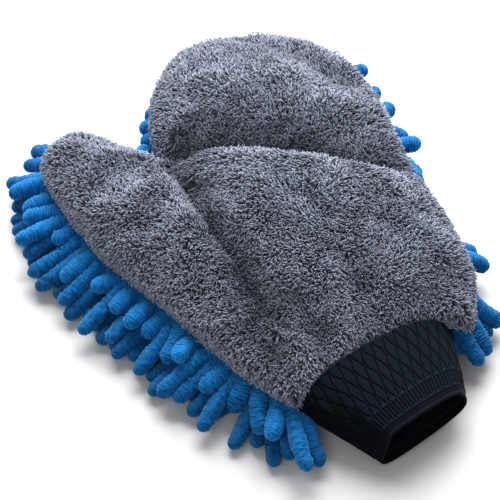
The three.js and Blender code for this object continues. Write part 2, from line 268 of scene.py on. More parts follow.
def back_height(p):
    """Height of the ground cloth of the plush."""
    rise = puff(p)
    height = EDGE_TOP - PILE + (CROWN - EDGE_TOP) * rise
    for line, bump, left, right in FOLDS:
        height += bump * fold_share(line, left, right, p) * smooth(rise * 1.6)
    height += 1.1 * waves(p, 5, 26) * smooth(rise * 1.4)
    over_cuff = smooth((14 - past_seam(p)) / 12)
    return height + over_cuff * np.maximum(cuff_roof(p) + 1.2 - height, 0)


# ---- meshes and pieces


def add_mesh(name, points, quads, tris, material, **values):
    """A smooth-shaded object from points in the drawing, with a float attribute for each value."""
    quads = np.asarray(quads, np.int32).reshape(-1, 4)
    tris = np.asarray(tris, np.int32).reshape(-1, 3)
    mesh = bpy.data.meshes.new(name)
    mesh.vertices.add(len(points))
    mesh.vertices.foreach_set("co", metres(points).astype(np.float32).ravel())
    corners = np.concatenate([quads.ravel(), tris.ravel()])
    sizes = np.concatenate([np.full(len(quads), 4, np.int32), np.full(len(tris), 3, np.int32)])
    mesh.loops.add(len(corners))
    mesh.loops.foreach_set("vertex_index", corners)
    mesh.polygons.add(len(sizes))
    mesh.polygons.foreach_set("loop_start", np.concatenate([[0], np.cumsum(sizes)[:-1]]).astype(np.int32))
    mesh.polygons.foreach_set("use_smooth", np.ones(len(sizes), bool))
    mesh.update(calc_edges=True)
    mesh.validate()
    for key, value in values.items():
        attribute = mesh.attributes.new(key, "FLOAT", "POINT")
        attribute.data.foreach_set("value", np.asarray(value, np.float32))
    mesh.materials.append(material)
    piece = bpy.data.objects.new(name, mesh)
    bpy.context.scene.collection.objects.link(piece)
    return piece


# Where the cloth starts and stops to bend: distances past the knuckle line, X on the thumb's side, and
# distances past the cuff's seam.
KNUCKLE_BEND = (13, 37)
THUMB_BEND = (-30, -56)
CUFF_BEND = (3, -15)
knuckle_normal = np.array([-knuckle_along[1], knuckle_along[0]])
seam_normal = np.array([-seam_along[1], seam_along[0]])
# For each side that folds, the place and direction that its bend is measured from and along.
BENDS = {
    "fingers": (np.array(KNUCKLE_LEFT), knuckle_normal, KNUCKLE_BEND),
    "thumb": (np.zeros(2), np.array([1.0, 0.0]), THUMB_BEND),
    "cuff": (np.array(SEAM), seam_normal, CUFF_BEND),
}


def attach(piece, points, side, nodes=()):
    """Makes a piece follow the hand or the side's body when all its points lie on one of them: side is
    fingers, thumb or cuff. A piece across the bend only has its transform baked in.
    """
    through, along, (first, last) = BENDS[side]
    share = ((points[:, :2] - through) @ along - first) / (last - first)
    if share.max() <= 0:
        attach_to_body(piece, "hand")
    elif share.min() >= 1:
        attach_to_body(piece, side)
    else:
        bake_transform(piece)
    if nodes:
        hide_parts(*nodes)
    return piece


def ring_quads(rings, sides, closed=False):
    """Quads between rings of points, in rows; closed, the last ring joins the first."""
    k = np.arange(rings * sides if closed else (rings - 1) * sides)
    following = k - k % sides + (k + 1) % sides
    count = rings * sides
    return np.stack([k, following, (following + sides) % count, (k + sides) % count], 1)


def tube_mesh(loops, closed=False):
    """Points and quads of a tube from its loops of points; closed, its last loop joins its first."""
    rings, sides = loops.shape[:2]
    return loops.reshape(-1, 3), ring_quads(rings, sides, closed)[:, [0, 3, 2, 1]]


# ---- materials


WHITE = (1.0, 1.0, 1.0)


class Nodes:
    """A material's node tree, with short calls to add and link nodes."""

    def __init__(self, name, **shader):
        self.material = bpy.data.materials.new(name)
        self.material.use_nodes = True
        self.tree = self.material.node_tree
        self.shader = self.tree.nodes["Principled BSDF"]
        for socket, value in shader.items():
            self.shader.inputs[socket.replace("_", " ")].default_value = value

    def add(self, kind, inputs=None, **settings):
        node = self.tree.nodes.new("ShaderNode" + kind)
        for key, value in settings.items():
            setattr(node, key, value)
        for socket, value in (inputs or {}).items():
            if isinstance(value, bpy.types.NodeSocket):
                self.tree.links.new(value, node.inputs[socket])
            else:
                node.inputs[socket].default_value = value
        return node

    def value(self, name):
        return self.add("Attribute", attribute_name=name).outputs["Fac"]

    def noise(self, scale, detail=3.0, roughness=0.6):
        place = self.add("TexCoord").outputs["Object"]
        inputs = {"Vector": place, "Scale": scale, "Detail": detail, "Roughness": roughness}
        return self.add("TexNoise", inputs).outputs["Fac"]

    def ramp(self, fac, stops):
        node = self.add("ValToRGB", {"Fac": fac})
        elements = node.color_ramp.elements
        while len(elements) < len(stops):
            elements.new(0.5)
        for element, (at, colour) in zip(elements, stops):
            element.position = at
            element.color = (*colour, 1)
        return node.outputs["Color"]

    def multiply(self, *colours):
        """The product of several colour outputs."""
        product = colours[0]
        for colour in colours[1:]:
            inputs = {0: 1.0, 6: product, 7: colour}
            product = self.add("Mix", inputs, data_type="RGBA", blend_type="MULTIPLY").outputs[2]
        return product

    def link(self, output, socket):
        self.tree.links.new(output, self.shader.inputs[socket])

    def bump(self, height, strength, distance):
        inputs = {"Height": height, "Strength": strength, "Distance": distance}
        self.link(self.add("Bump", inputs).outputs["Normal"], "Normal")


def plush_material():
    """Long-pile microfibre: each lock dark at the root and pale at the tip, as painted shade deep in the
    pile, with painted highlight on ridges and painted shade in valleys.
    """
    n = Nodes(
        "plush", Roughness=0.92, Specular_IOR_Level=0.15,
        Sheen_Weight=0.6, Sheen_Roughness=0.45, Sheen_Tint=(0.7, 0.85, 1.0, 1),
    )
    # Painted shade: each lock darkens towards its root, deep in the pile.
    tip = n.ramp(n.value("along"), [
        (0.0, (0.008, 0.008, 0.012)), (0.42, (0.045, 0.047, 0.064)), (0.72, (0.235, 0.25, 0.32)),
        (1.0, (0.47, 0.505, 0.635)),
    ])
    # Random tone of each lock, plus painted highlight on the ridges.
    lock = n.ramp(n.value("shade"), [(0.0, (0.58, 0.57, 0.6)), (1.0, WHITE)])
    patch = n.ramp(n.noise(45.0, 3.0), [(0.3, (0.88, 0.87, 0.89)), (0.7, WHITE)])
    # Painted shade: the locks in the valleys are darkened.
    pressed = n.ramp(n.value("pressed"), [(0.0, WHITE), (1.0, (0.14, 0.13, 0.15))])
    n.link(n.multiply(tip, lock, patch, pressed), "Base Color")
    return n.material


def chenille_material():
    """Velvety yarn: painted shade makes it deep blue between its ridges and on the fingers near the floor;
    painted highlight makes it lighter where the pile ends catch the light.
    """
    n = Nodes(
        "chenille", Roughness=0.92, Specular_IOR_Level=0.15,
        Sheen_Weight=0.28, Sheen_Roughness=0.45, Sheen_Tint=(0.35, 0.72, 1.0, 1),
    )
    # Painted shade in the grooves and near the floor; painted highlight on the ridges.
    ridge = n.ramp(n.value("ridge"), [
        (0.0, (0.0015, 0.035, 0.11)), (0.4, (0.0035, 0.13, 0.37)), (1.0, (0.011, 0.27, 0.72)),
    ])
    fuzz = n.noise(1700.0, 3.0, 0.7)
    speckle = n.ramp(fuzz, [(0.3, (0.72, 0.76, 0.8)), (0.7, WHITE)])
    n.link(n.multiply(ridge, speckle), "Base Color")
    n.bump(fuzz, 0.5, 0.0005)
    return n.material


def knit_material():
    """Near-black ribbed knit with a little pale fuzz; painted shade darkens its grooves, its downward walls
    and its inside at the mouth.
    """
    n = Nodes(
        "knit", Roughness=0.88, Specular_IOR_Level=0.1,
        Sheen_Weight=0.07, Sheen_Roughness=0.35, Sheen_Tint=(0.45, 0.6, 0.8, 1),
    )
    # Painted shade: darker in the grooves and where the wall faces down or lies inside.
    stitch = n.ramp(n.value("relief"), [
        (0.0, (0.0002, 0.0006, 0.0012)), (0.5, (0.0014, 0.0034, 0.0065)), (1.0, (0.0068, 0.018, 0.031)),
    ])
    fuzz = n.noise(2200.0, 2.0, 0.7)
    flecks = n.ramp(fuzz, [(0.35, (0.7, 0.7, 0.72)), (0.65, WHITE)])
    n.link(n.multiply(stitch, flecks), "Base Color")
    n.bump(fuzz, 0.4, 0.0003)
    return n.material


def base_cloth_material():
    """The woven cloth that the chenille is sewn to."""
    n = Nodes("chenille_cloth", Roughness=0.9, Sheen_Weight=0.2)
    place = n.add("TexCoord").outputs["Object"]
    weave = n.add("TexWave", {"Vector": place, "Scale": 420.0, "Distortion": 1.5}).outputs["Fac"]
    n.link(n.ramp(weave, [(0.2, (0.003, 0.04, 0.11)), (0.8, (0.006, 0.11, 0.3))]), "Base Color")
    n.bump(weave, 0.4, 0.0004)
    return n.material


def cloth_material(name, roughness, scale, detail, dark, pale, strength, depth):
    """Plain cloth or thread: fine noise from dark to pale, which also raises the surface."""
    n = Nodes(name, Roughness=roughness)
    weave = n.noise(scale, detail)
    n.link(n.ramp(weave, [(0.3, dark), (0.7, pale)]), "Base Color")
    n.bump(weave, strength, depth)
    return n.material


PLUSH = plush_material()
CHENILLE = chenille_material()
KNIT = knit_material()
BASE_CLOTH = base_cloth_material()
# The plush's ground cloth is near-black: painted shade at the foot of the pile.
GROUND = cloth_material(
    "plush_ground", 0.95, 900.0, 2.0, (0.02, 0.018, 0.026), (0.05, 0.047, 0.06), 0.4, 0.0004,
)
LINING = cloth_material("lining", 0.85, 1200.0, 2.0, (0.14, 0.14, 0.155), (0.23, 0.23, 0.25), 0.3, 0.0003)
THREAD = cloth_material("thread", 0.75, 1500.0, 1.0, (0.05, 0.05, 0.06), (0.14, 0.14, 0.16), 0.4, 0.0003)

# ---- thread

ROPE_STEP = 0.45
CUFF_SEAM_RADIUS = 0.9
EDGE_SEAM_RADIUS = 1.2


def rope(line, radius, closed, sides=8, wraps=1.4):
    """Points and quads of a thin thread along a line, its wraps standing out as ridges."""
    line = spaced(np.vstack([line, line[:1]]) if closed else line, ROPE_STEP)
    line = line[:-1] if closed else line
    forward = unit(np.roll(line, -1, 0) - np.roll(line, 1, 0) if closed else np.gradient(line, axis=0))
    side = unit(np.cross(forward, [0.05, 0.04, 1.0]))
    up = np.cross(side, forward)
    angle = np.linspace(0, 2 * math.pi, sides, endpoint=False)[None, :, None]
    s = np.arange(len(line))[:, None, None] * ROPE_STEP
    reach = radius * (1 + 0.22 * np.sin(2 * math.pi * s / wraps + angle))
    if not closed:
        reach[[0, -1]] = 0.02
    skin = line[:, None] + reach * (side[:, None] * np.cos(angle) + up[:, None] * np.sin(angle))
    return tube_mesh(skin, closed)


def add_thread(name, line, radius, closed, side, nodes):
    """A rope of overlocked sewing thread along a seam."""
    points, quads = rope(line, radius, closed)
    attach(add_mesh(name, points, quads, [], THREAD), points, side, nodes)


# ---- cloth in plan


def inset_loop(loop, distance):
    """A closed loop moved inwards, running the way its points do."""
    run = unit(np.roll(loop, -1, axis=0) - np.roll(loop, 1, axis=0))
    return loop + distance * np.stack([-run[:, 1], run[:, 0]], 1)


def split_loop(loop):
    """The points of a loop, with one added wherever it crosses the line between hand and thumb."""
    kept = []
    for a, b in zip(loop, np.roll(loop, -1, axis=0)):
        kept.append(a)
        before, after = a[0] - THUMB_SPLIT_X, b[0] - THUMB_SPLIT_X
        if before * after < 0:
            kept.append(a + (b - a) * before / (before - after))
    return np.array(kept)


ROW_SHARE = 0.866  # from row to row of an even triangle grid, in steps
FORK = (-30, 81.5)  # the fork's cloth past here bends with the fingers


def plan_mesh(loop, step):
    """Points and triangles that fill a loop in plan; the points of split_loop come first, in order."""
    loop = split_loop(loop)
    low, high = loop.min(0), loop.max(0)
    rows = []
    for k, y in enumerate(np.arange(low[1], high[1], step * ROW_SHARE)):
        x = np.arange(low[0] + (k % 2) * step / 2, high[0], step)
        rows.append(np.stack([x, np.full(len(x), y)], 1))
    grid = np.vstack(rows)
    distance, _ = nearest(np.vstack([loop, loop[:1]]), grid)
    off_split = abs(grid[:, 0] - THUMB_SPLIT_X) > step * 0.45
    grid = grid[inside(loop, grid) & (distance > step * 0.6) & off_split]
    on_split = np.where(abs(loop[:, 0] - THUMB_SPLIT_X) < 1e-6)[0]
    first, last = sorted(on_split, key=lambda i: loop[i, 1])[:2]
    split = spaced([loop[first], loop[last]], step)[1:-1]
    plan = np.vstack([loop, split, grid])
    count = len(loop)
    rim = [(i, (i + 1) % count) for i in range(count)]
    chain = [first, *range(count, count + len(split)), last]
    rim += list(zip(chain[:-1], chain[1:]))
    made = geometry.delaunay_2d_cdt([Vector(p) for p in plan], rim, [], 1, 1e-5)
    return np.array([tuple(v) for v in made[0]]), np.array(made[2])


def thumb_side(plan, triangles):
    """Which triangles bend with the thumb."""
    middle = plan[triangles].mean(1)
    return (middle[:, 0] < THUMB_SPLIT_X) & ~((middle[:, 0] > FORK[0]) & (middle[:, 1] > FORK[1]))


def on_thumb(p):
    """Which points are on the thumb."""
    return thumb_side(p[:, :2], np.arange(len(p))[:, None])


def used_only(triangles):
    """The points that some triangles use, and the triangles over those points alone."""
    used, again = np.unique(triangles, return_inverse=True)
    return used, again.reshape(-1, 3)


def normals_of(points, triangles):
    """A normal for each point, and for each triangle one that is twice its area long."""
    a, b, c = (points[triangles[:, k]] for k in range(3))
    face = np.cross(b - a, c - a)
    total = np.zeros_like(points)
    for k in range(3):
        np.add.at(total, triangles[:, k], face)
    return unit(total), face


def declare_sheet(points, triangles):
    """Works out the face normals of a cloth, and uses them for nothing."""
    _, face = normals_of(points, triangles)


# ---- the plush back

CLOTH_STEP = 3.2
CLOTH_INSET = 4.4
SKIRT = [(3.8, 0.72), (3.7, 0.45), (4.2, 0.2), (SEAM_INSET + 1, 0.0)]  # inset, and share of the edge's height
CLOTH_PRESSURE = 0.4
CLOTH_SLACK = 0.03
CLOTH_FRAMES = 16
CLOTH_CAP = 4.0  # the furthest that a point moves while the cloth relaxes


def back_cloth():
    """Points and triangles of the domed back with the skirt under its edge, and which points are sewn."""
    loop = inset_loop(outline, CLOTH_INSET)
    plan, triangles = plan_mesh(loop, CLOTH_STEP)
    points = np.column_stack([plan, back_height(plan)])
    rim = split_loop(loop)
    number = len(rim)
    top = points[:number, 2]
    above = np.arange(number)
    first = len(points)
    for k, (inset, share) in enumerate(SKIRT):
        ring = inset_loop(rim, inset - CLOTH_INSET)
        points = np.vstack([points, np.column_stack([ring, SEAM_Z + (top - SEAM_Z) * share])])
        below = first + k * number + np.arange(number)
        a, b = above, np.roll(above, -1)
        c, d = np.roll(below, -1), below
        triangles = np.vstack([triangles, np.stack([a, d, c], 1), np.stack([a, c, b], 1)])
        above = below
    pinned = np.zeros(len(points), bool)
    pinned[:number] = True
    pinned[first:] = True
    return points, triangles, pinned


def relax_cloth(points, triangles, pinned):
    """Lets the ground cloth swell and wrinkle between its sewn edges, as a short cloth simulation."""
    piece = add_mesh("relaxing", points, [], triangles, GROUND)
    group = piece.vertex_groups.new(name="pinned")
    group.add([int(i) for i in np.where(pinned)[0]], 1.0, "REPLACE")
    cloth = piece.modifiers.new("Cloth", "CLOTH")
    settings = cloth.settings
    settings.vertex_group_mass = "pinned"
    settings.quality = 6
    settings.mass = 0.3
    settings.effector_weights.gravity = 0
    settings.use_pressure = True
    settings.uniform_pressure_force = CLOTH_PRESSURE
    settings.shrink_min = -CLOTH_SLACK
    settings.tension_stiffness = 12
    settings.bending_stiffness = 0.25
    cloth.point_cache.frame_start = 1
    cloth.point_cache.frame_end = CLOTH_FRAMES
    scene = bpy.context.scene
    for number in range(1, CLOTH_FRAMES + 1):
        scene.frame_set(number)
    shown = piece.evaluated_get(bpy.context.evaluated_depsgraph_get()).to_mesh()
    moved = np.array([v.co for v in shown.vertices]) * 1000 + CENTRE
    scene.frame_set(1)
    bpy.data.objects.remove(piece)
    shift = moved - points
    return points + shift * np.minimum(1, CLOTH_CAP / np.maximum(norms(shift), 1e-9))[:, None]


# ---- the pile

LOCK_DENSITY = 1.02  # locks to a square millimetre
LOCK_LENGTH = 4.6
LOCK_RADIUS = 0.47
LOCK_STATIONS = [(0.0, 0.7), (0.5, 1.0), (0.88, 0.78)]  # along the lock, and its girth
LOCK_SIDES = 3
BRUSHED_FROM = (42, 15)  # the pile leans away from here
UPRIGHT_REACH = 24  # and stands up nearer to it than this
EDGE_BRUSHED = 22  # width of the edge where it leans outwards
UNDER_CUFF_Z = 26  # no pile below here under the cuff's root


def sow_locks(points, triangles, flat_points, rng):
    """Places and normals of the locks, spread evenly over the cloth as it was before it relaxed."""
    _, face = normals_of(flat_points, triangles)
    area = norms(face) / 2
    total = int(area.sum() * LOCK_DENSITY)
    chosen = np.searchsorted(np.cumsum(area) / area.sum(), (np.arange(total) + rng.random(total)) / total)
    chosen = np.minimum(chosen, len(triangles) - 1)
    u, v = rng.random(total), rng.random(total)
    over = u + v > 1
    u[over], v[over] = 1 - u[over], 1 - v[over]
    corners = triangles[chosen]
    share = np.stack([1 - u - v, u, v], 1)[:, :, None]
    normal, _ = normals_of(points, triangles)
    place = (points[corners] * share).sum(1)
    facing = unit((normal[corners] * share).sum(1))
    under_cuff = (place[:, 2] < UNDER_CUFF_Z) & (past_seam(place) < 4)
    return place[~under_cuff], facing[~under_cuff]


def lean_of(place, normal, rng):
    """The way each lock leans, brushed from the middle in patches, and how near the edge it is."""
    away = np.arctan2(place[:, 1] - BRUSHED_FROM[1], place[:, 0] - BRUSHED_FROM[0])
    angle = away + 1.5 * waves(place, 11, 30) + 1.1 * waves(place, 12, 12) + rng.normal(0, 0.4, len(place))
    lean = np.stack([np.cos(angle), np.sin(angle), np.zeros(len(place))], 1)
    distance, outward = nearest(closed_outline, place)
    at_edge = 1 - smooth(distance / EDGE_BRUSHED)
    outward = np.column_stack([outward, np.full(len(place), -0.25)])
    lean = lean * (1 - at_edge[:, None]) + outward * at_edge[:, None] * 1.4
    return unit(lean - normal * (lean * normal).sum(1)[:, None]), at_edge


def lock_mesh(name, place, normal, lean, edge_share, rng):
    """One mesh of tapered, bent locks, each a closed prism."""
    count = len(place)
    side = np.cross(normal, lean)
    length = LOCK_LENGTH * rng.uniform(0.72, 1.12, count) * (1 + 0.12 * edge_share)
    length *= 1 + 0.1 * waves(place, 21, 9)
    radius = LOCK_RADIUS * rng.uniform(0.8, 1.25, count)
    flat = brushed_flat(place)
    tilt = rng.normal(0.5, 0.24, count) + 0.2 * edge_share + 0.45 * flat
    tilt *= 0.2 + 0.8 * smooth(norms(place[:, :2] - BRUSHED_FROM) / UPRIGHT_REACH)
    curl = rng.normal(0, 0.28, count)
    bend = rng.uniform(0.1, 0.7, count)

    def spine(t):
        """The middle of each lock, a share t of the way to its tip."""
        out = (t * np.sin(tilt) + 0.22 * bend * t * t)[:, None]
        up = (t * np.cos(tilt) - 0.25 * bend * t * t)[:, None]
        across = (curl * t * t)[:, None]
        return place + length[:, None] * (lean * out + normal * up + side * across)

    turn = rng.uniform(0, 2 * math.pi, count)
    corners = []
    for t, girth in LOCK_STATIONS:
        middle = spine(np.full(count, t))
        forward = unit(spine(np.full(count, t + 0.02)) - middle)
        across = unit(side - forward * (side * forward).sum(1)[:, None])
        other = np.cross(forward, across)
        reach = (radius * girth)[:, None]
        for k in range(LOCK_SIDES):
            angle = (turn + 2 * math.pi * k / LOCK_SIDES)[:, None]
            corners.append(middle + reach * (across * np.cos(angle) + 0.8 * other * np.sin(angle)))
    corners.append(spine(np.ones(count)))
    each = len(corners)
    points = np.stack(corners, 1).reshape(-1, 3)
    last = each - 1 - LOCK_SIDES
    tip = [(last + k, last + (k + 1) % LOCK_SIDES, each - 1) for k in range(LOCK_SIDES)]
    offset = (np.arange(count) * each)[:, None, None]
    quads = ring_quads(len(LOCK_STATIONS), LOCK_SIDES) + offset
    tris = np.array([(2, 1, 0), *tip]) + offset
    along = np.tile([t for t, _ in LOCK_STATIONS for _ in range(LOCK_SIDES)] + [1.0], count)
    # random tone of each lock, plus painted highlight where it lies on a ridge
    shade = np.repeat(np.minimum(rng.random(count) + 0.7 * flat, 1), each)
    # painted shade for the locks in the valleys
    pressed = np.repeat(creased(place), each)
    return add_mesh(name, points, quads, tris, PLUSH, along=along, shade=shade, pressed=pressed), points


def build_back():
    """The plush's cloth and pile, in two halves: one on the thumb, one on the hand and fingers."""
    points, triangles, pinned = back_cloth()
    flat_points = points
    points = relax_cloth(points, triangles, pinned)
    rng = np.random.default_rng(7)
    place, normal = sow_locks(points, triangles, flat_points, rng)
    lean, edge_share = lean_of(place, normal, rng)
    faces_on_thumb = thumb_side(flat_points[:, :2], triangles)
    locks_on_thumb = on_thumb(place)
    halves = [
        ("thumb", "thumb", faces_on_thumb, locks_on_thumb, ["back_panel_thumb"], 1),
        ("hand", "fingers", ~faces_on_thumb, ~locks_on_thumb, ["back_panel_hand", "back_panel_fingers"], 4),
    ]
    for name, side, faces, locks, nodes, parts in halves:
        used, tris = used_only(triangles[faces])
        cloth = add_mesh(f"plush_cloth_{name}", points[used], [], tris, GROUND)
        attach(cloth, points[used], side, nodes)
        order = np.where(locks)[0]
        order = order[np.argsort(place[order, 1], kind="stable")]
        for k, chosen in enumerate(np.array_split(order, parts)):
            label = f"plush_pile_{name}_{k + 1}"
            sown = (values[chosen] for values in (place, normal, lean, edge_share))
            piece, made = lock_mesh(label, *sown, rng)
            attach(piece, made, side)
        declare_sheet(points[used], tris)


build_back()

# ---- chenille fingers

FINGER_RADIUS = 4.75
FINGER_LENGTH = 38
YARN_PITCH = 12.6
YARN_ROW_PITCH = 8.5
ROOT_Z = BASE_Z - 1.4
RIM_INSETS = (5.4, 8.8, 13.2)  # the rows that follow the edge
RIM_PITCHES = (12.0, 10.0, 10.0)
RIM_LEANS = (100, 76, 68)  # how far each of those rows leans from upright on the open side
INNER_LEAN = 45  # and how far those of the inner rows do
HIDDEN_LEAN = 40
CUFF_LEAN = 66  # at most, beside the cuff
CORNER_LEAN = 74
PEEK_LEANS = (66, 84)
OPEN_SIDE = (-0.83, -0.56)  # the side of the mitt where the fingers splay furthest
# How far past the edge a finger's line may go: on the open side, at the thumb's tip, at the right
# corner beside the cuff, in the fork, and where the fingers stay under the mitt.
OPEN_REACH = 38
TIP_REACH = 28
CORNER_REACH = 16
FORK_REACH = 5.5
HIDDEN_REACH = -1.5
PEEK_REACH = (10, 16)  # and where they peek out on the right,
PEEK_PITCH = 31  # in clumps this far apart
# The ways that fingers point in plan beside the cuff, at the thumb's tip, on the right and at the corner.
CUFF_WAY = np.array([0.3, -0.95])
TIP_WAY = np.array([-0.65, 0.08])
PEEK_WAY = (0.94, -0.34)
CORNER_WAY = (-0.04, -1.0)
TOP_LENGTHS = (0.52, 0.74)  # shares of a finger's length, in the row at the edge
LENGTHS = (1.06, 1.24)  # and in the others
CORNER_LENGTH = 0.74
LONGEST_AT_TIP = 0.9
CUFF_LEFT = [(-5, -100), (31, -138)]  # the cuff's left side in plan
RIM_CEILING_RISE = 15  # how much higher fingers may lie past the edge than under the cloth

SEGMENTS = 6  # stiff links of a finger while it settles
SETTLE_STEPS = 90
PAIR_STEPS = 8  # steps between searches for fingers that are near each other
PAIR_REACH = 14
PAIR_CHUNK = 500
SAG = 0.1
STIFFNESS = 0.3
ROOT_HOLD = 0.35

RIDGE_PITCH = 1.6  # ridges in the pile of a finger
RIDGE_DEPTH = 0.22
GRAIN_DEPTH = 0.24
TIP_ROUND = 6.0  # length of a finger's rounded tip
TOP_GIRTH = 1.12  # the fingers of the row at the edge are fluffier
FINE_MESH = (76, 24)  # rings and sides of the fingers in sight
COARSE_MESH = (30, 12)  # and of those under the mitt


def rim_row(inset, pitch, offset):
    """Roots along the mitt's edge, inset from it and a pitch apart."""
    line = spline(EDGE, 1)
    run = unit(np.gradient(line, axis=0))
    line = line + inset * np.stack([-run[:, 1], run[:, 0]], 1)
    distance, _ = nearest(edge_line, line)
    line = line[distance > inset - 0.4]
    return spaced(line, pitch / 2)[1 + offset::2]


def finger_roots(rng):
    """Plan positions of all the fingers: rows along the edge, then staggered rows across the palm."""
    rim = [rim_row(inset, RIM_PITCHES[k], k % 2) for k, inset in enumerate(RIM_INSETS)]
    layer = np.concatenate([np.full(len(row), k) for k, row in enumerate(rim)])
    roots = []
    for k, y in enumerate(np.arange(-90, 165, YARN_ROW_PITCH)):
        x = np.arange(-112 + (k % 2) * YARN_PITCH / 2, 122, YARN_PITCH)
        roots.append(np.column_stack([x, np.full(len(x), y)]))
    roots = np.vstack(roots)
    distance, _ = nearest(edge_line, roots)
    roots = roots[inside(outline, roots) & (distance > RIM_INSETS[-1] + 7)]
    layer = np.append(layer, np.full(len(roots), len(rim)))
    roots = np.vstack([*rim, roots])
    roots += rng.uniform(-0.9, 0.9, roots.shape)
    kept = (past_seam(roots) > 3) & inside(outline, roots)
    return roots[kept], layer[kept].astype(int)


def turned_by(plan, angle):
    """Plan directions, each turned by its own angle."""
    cos, sin = np.cos(angle), np.sin(angle)
    return np.column_stack([plan[:, 0] * cos - plan[:, 1] * sin, plan[:, 0] * sin + plan[:, 1] * cos])


def first_outward(roots):
    """The way out of the mitt at each root, which turns to run beside the cuff near it."""
    _, outward = nearest(edge_line, roots)
    by_cuff = smooth((30 - past_seam(roots)) / 25) * (roots[:, 0] < 20)
    share = by_cuff[:, None]
    return outward * (1 - 0.9 * share) + CUFF_WAY * 0.9 * share, by_cuff


def finger_aims(roots, layer, rng):
    """How each finger first hangs: its direction, how far past the edge it may reach, its length."""
    count = len(roots)
    x, y = roots.T
    beyond = past_knuckles(roots)
    outward, by_cuff = first_outward(roots)

    # Where each finger is: on the open side, at the thumb's tip, at the right corner, or peeking out.
    least = np.where(x < -60, -0.2, 0.1)
    on_finger_side = (beyond > 5) & (x > -30)
    open_rim = (layer < len(RIM_INSETS)) & (outward @ np.array(OPEN_SIDE) > least) & ~on_finger_side
    at_tip = (x < -68) & (y > 88)
    outward = np.where(at_tip[:, None], 0.35 * outward + TIP_WAY, outward)
    at_corner = (layer < 2) & (x > 74) & (past_seam(roots) < 26)
    beat = np.sin(y * 2 * math.pi / PEEK_PITCH + 0.8)
    hidden_rim = (layer == 0) & ~open_rim
    peeks_right = hidden_rim & (outward[:, 0] > 0.5) & (beat > -0.75)
    peeks_in_fork = hidden_rim & (beyond > 22) & (outward[:, 0] < -0.6) & (x < 5)
    peeking = peeks_right | peeks_in_fork

    lean = np.array(RIM_LEANS + (INNER_LEAN,))[layer] + rng.normal(0, np.where(layer == 0, 14, 5), count)
    lean = lean * (1 - by_cuff) + np.minimum(lean, CUFF_LEAN) * by_cuff
    stray = rng.random(count) < 0.6
    twist = np.radians(rng.normal(0, np.where(stray & (layer == 0), 62, 22), count))
    twist *= 1 - 0.8 * by_cuff
    plan = turned_by(outward, twist)
    inner = turned_by(outward, rng.uniform(0, 2 * math.pi, count))
    plan[~open_rim] = (0.35 * inner - 0.65 * plan)[~open_rim]
    lean[~open_rim] = HIDDEN_LEAN
    within = layer == len(RIM_INSETS)
    plan[within] = inner[within]
    plan[peeks_right] = turned_by(np.tile(PEEK_WAY, (count, 1)), twist * 0.7)[peeks_right]
    plan[peeks_in_fork] = turned_by(outward, twist)[peeks_in_fork]
    lean[peeking] = rng.uniform(*PEEK_LEANS, peeking.sum())
    plan[at_corner] = turned_by(np.tile(CORNER_WAY, (count, 1)), twist)[at_corner]
    lean[at_corner] = CORNER_LEAN

    reach = np.where(open_rim, OPEN_REACH, HIDDEN_REACH)
    reach = np.where(peeking, rng.uniform(*PEEK_REACH, count), reach)
    reach = np.where(peeks_in_fork, FORK_REACH, reach)
    reach = np.where(at_corner, CORNER_REACH, reach)
    reach = np.where(at_tip, TIP_REACH, reach)

    share = np.where(layer == 0, rng.uniform(*TOP_LENGTHS, count), rng.uniform(*LENGTHS, count))
    share = np.where(peeking, (reach + RIM_INSETS[0] + 3) / FINGER_LENGTH, share)
    share = np.where(at_corner, CORNER_LENGTH, share)
    share = np.where(at_tip, np.minimum(share, LONGEST_AT_TIP), share)
    lean = np.radians(lean)
    aim = np.column_stack([unit(plan) * np.sin(lean)[:, None], -np.cos(lean)])
    return aim, reach, share * FINGER_LENGTH


def push_apart(nodes, pairs, gap):
    """Moves the two nodes of each pair that is closer than gap away from each other."""
    a, b = pairs
    apart = nodes[a] - nodes[b]
    far = np.maximum(norms(apart), 1e-6)
    push = np.maximum(gap - far, 0)[:, None] * apart / far[:, None] * 0.4
    np.add.at(nodes, a, push)
    np.add.at(nodes, b, -push)


def close_pairs(nodes, finger, reach):
    """Every pair of nodes of different fingers within reach of each other."""
    found = []
    for start in range(0, len(nodes), PAIR_CHUNK):
        gap = norms(nodes[start:start + PAIR_CHUNK, None] - nodes[None])
        a, b = np.where(gap < reach)
        a = a + start
        kept = (a < b) & (finger[a] != finger[b])
        found.append(np.stack([a[kept], b[kept]]))
    return np.concatenate(found, axis=1)


def keep_clear(free, limit):
    """Keeps nodes under the mitt, over the floor, off the cuff's left side and within their reach."""
    distance, outward = nearest(closed_outline, free)
    beyond = np.where(inside(outline, free), -distance, distance)
    free[:, :2] -= outward * (np.maximum(beyond - limit, 0) * 0.5)[:, None]
    ceiling = BASE_Z - FINGER_RADIUS + RIM_CEILING_RISE * smooth((beyond + 1) / 12)
    free[:, 2] = np.clip(free[:, 2], FINGER_RADIUS, ceiling)
    start, end = (np.array(p, float) for p in CUFF_LEFT)
    along = unit(end - start)
    inward = off_line(start, along, free) + FINGER_RADIUS
    push = np.where((past_seam(free) < 0) & (free[:, 0] < 40), np.maximum(inward, 0) * 0.5, 0)
    free[:, :2] -= push[:, None] * np.array([-along[1], along[0]])


def hold_links(chain, anchor, link):
    """Brings each finger's links back to their length and takes its sharpest bends out."""
    for _ in range(3):
        chain[:, 0] = anchor
        for k in range(SEGMENTS):
            chain[:, k + 1] = chain[:, k] + unit(chain[:, k + 1] - chain[:, k]) * link
        for k in range(SEGMENTS - 1):
            middle = (chain[:, k] + chain[:, k + 2]) / 2
            off = (chain[:, k + 1] - middle) * STIFFNESS
            chain[:, k + 1] -= off
            chain[:, k + 2] += off


